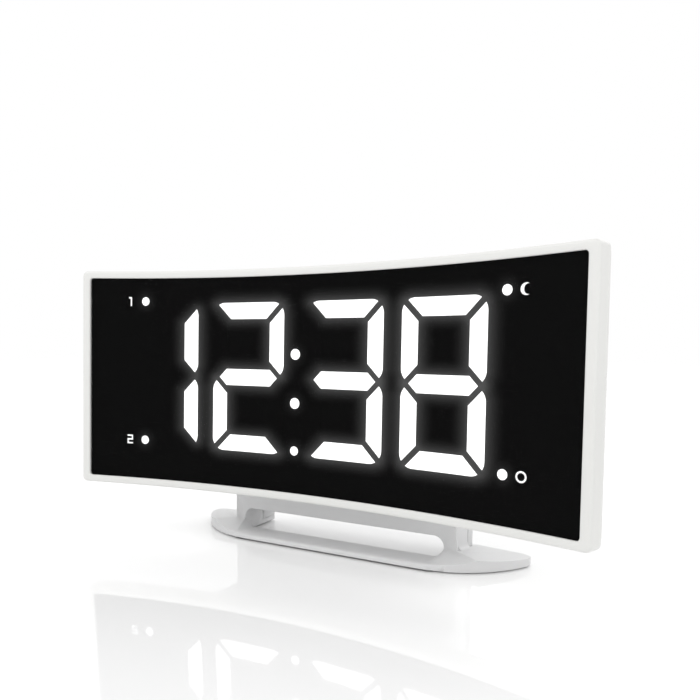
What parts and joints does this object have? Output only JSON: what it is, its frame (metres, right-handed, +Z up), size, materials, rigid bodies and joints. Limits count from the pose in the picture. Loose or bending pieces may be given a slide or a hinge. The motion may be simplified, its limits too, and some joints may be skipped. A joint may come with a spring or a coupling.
{
  "type": "projection alarm clock",
  "caption": "Projection alarm clock: a thin, wide, inward-curved digital display on a low slotted stand, with a tilting projector, keys, a loudspeaker and sockets in the housing behind it.",
  "frame": {"origin": "middle of the clock's footprint box on the table, under the rubber pads", "axes": "+X along the display's width, to the right for someone facing it; +Y from the display to the back; +Z up"},
  "size_m": [0.1674, 0.0466, 0.0874],
  "materials": {
    "white_shell": "fine satin off-white",
    "grey_shell": "satin light grey",
    "key_plastic": "satin pale grey",
    "smoked_lens": "smoked acrylic, polished",
    "black_mask": "matte black film",
    "lit_guide": "milky light guide, lit",
    "dark_guide": "milky light guide, unlit behind the smoked lens",
    "white_plastic": "white moulding",
    "black_plastic": "black moulding",
    "ring_plastic": "black, grooved",
    "circuit_board": "green solder mask",
    "led": "white diode package",
    "steel": "nickel-plated",
    "brass": "spring brass",
    "capacitor_sleeve": "dark blue sleeve",
    "speaker_metal": "grey zinc",
    "cone_paper": "black paper",
    "clear_lens": "coated glass",
    "picture_film": "liquid-crystal slide",
    "pad_rubber": "soft black rubber"
  },
  "bodies": {
    "clock": {"front_bezel": "white_shell", "display_lens": "smoked_lens", "light_mask": "black_mask", "hour_tens_segments": "lit_guide", "hour_units_segments": "lit_guide", "minute_tens_segments": "lit_guide", "minute_units_segments": "lit_guide", "unlit_segments": "dark_guide", "colon_dots": "lit_guide", "indicator_dots": "lit_guide", "reflector_block": "white_plastic", "display_board": "circuit_board", "segment_leds": "led", "rear_cover": "white_shell", "board_header": "black_plastic", "front_housing": "grey_shell", "rear_housing": "grey_shell", "main_board": "circuit_board", "control_chip": "black_plastic", "tuner_can": "steel", "capacitors": "capacitor_sleeve", "battery_holder": "black_plastic", "battery_contacts": "brass", "usb_port": "steel", "usb_tongue": "white_plastic", "power_inlet": "black_plastic", "inlet_pin": "steel", "speaker_frame": "speaker_metal", "speaker_cone": "cone_paper", "speaker_magnet": "speaker_metal", "top_key_boards": "circuit_board", "rear_key_board": "circuit_board", "key_switches": "black_plastic", "housing_screws": "steel", "head_screws": "steel", "board_screws": "steel", "foot_pads": "pad_rubber"},
    "projector": {"projector_drum": "black_plastic", "picture_slide": "picture_film", "projector_led": "led"},
    "focus_wheel": {"focus_ring": "ring_plastic"},
    "barrel": {"lens_barrel": "black_plastic", "projector_lens": "clear_lens"},
    "tray": {"battery_tray": "grey_shell", "coin_cell": "steel"},
    "snooze": {"snooze_key": "key_plastic"},
    "radio": {"radio_key": "key_plastic"},
    "sleep": {"sleep_key": "key_plastic"},
    "memory": {"memory_key": "key_plastic"},
    "alarm_1": {"alarm_1_key": "key_plastic"},
    "alarm_2": {"alarm_2_key": "key_plastic"},
    "minus": {"minus_key": "key_plastic"},
    "plus": {"plus_key": "key_plastic"},
    "flip": {"flip_key": "key_plastic"}
  },
  "joints": [
    {"name": "projector_tilt", "type": "hinge", "parent": "clock", "child": "projector", "pos_m": [0, 0.01526, 0.07723], "axis": [-1, 0, 0], "range_deg": [-20, 90]},
    {"name": "focus_turn", "type": "hinge", "parent": "projector", "child": "focus_wheel", "pos_m": [0, 0.01526, 0.08623], "axis": [0, 0, 1], "range_deg": [-60, 60]},
    {"name": "focus_shift", "type": "slide", "parent": "projector", "child": "barrel", "axis": [0, 0, 1], "range_m": [-0.0008, 0.0008]},
    {"name": "tray_pull", "type": "slide", "parent": "clock", "child": "tray", "axis": [-1, 0, 0], "range_m": [0, 0.024]},
    {"name": "snooze_press", "type": "slide", "parent": "clock", "child": "snooze", "axis": [0, 0, -1], "range_m": [0, 0.0008], "stiffness_N_per_m": 300},
    {"name": "radio_press", "type": "slide", "parent": "clock", "child": "radio", "axis": [0, 0, -1], "range_m": [0, 0.0008], "stiffness_N_per_m": 300},
    {"name": "sleep_press", "type": "slide", "parent": "clock", "child": "sleep", "axis": [0, 0, -1], "range_m": [0, 0.0008], "stiffness_N_per_m": 300},
    {"name": "memory_press", "type": "slide", "parent": "clock", "child": "memory", "axis": [0, -1, 0], "range_m": [0, 0.0008], "stiffness_N_per_m": 300},
    {"name": "alarm_1_press", "type": "slide", "parent": "clock", "child": "alarm_1", "axis": [0, -1, 0], "range_m": [0, 0.0008], "stiffness_N_per_m": 300},
    {"name": "alarm_2_press", "type": "slide", "parent": "clock", "child": "alarm_2", "axis": [0, -1, 0], "range_m": [0, 0.0008], "stiffness_N_per_m": 300},
    {"name": "minus_press", "type": "slide", "parent": "clock", "child": "minus", "axis": [0, -1, 0], "range_m": [0, 0.0008], "stiffness_N_per_m": 300},
    {"name": "plus_press", "type": "slide", "parent": "clock", "child": "plus", "axis": [0, -1, 0], "range_m": [0, 0.0008], "stiffness_N_per_m": 300},
    {"name": "flip_press", "type": "slide", "parent": "clock", "child": "flip", "axis": [0, -1, 0], "range_m": [0, 0.0008], "stiffness_N_per_m": 300}
  ],
  "couplings": [
    {"joint": "focus_turn", "follows": "focus_shift", "rad_per_m": 1300}
  ]
}
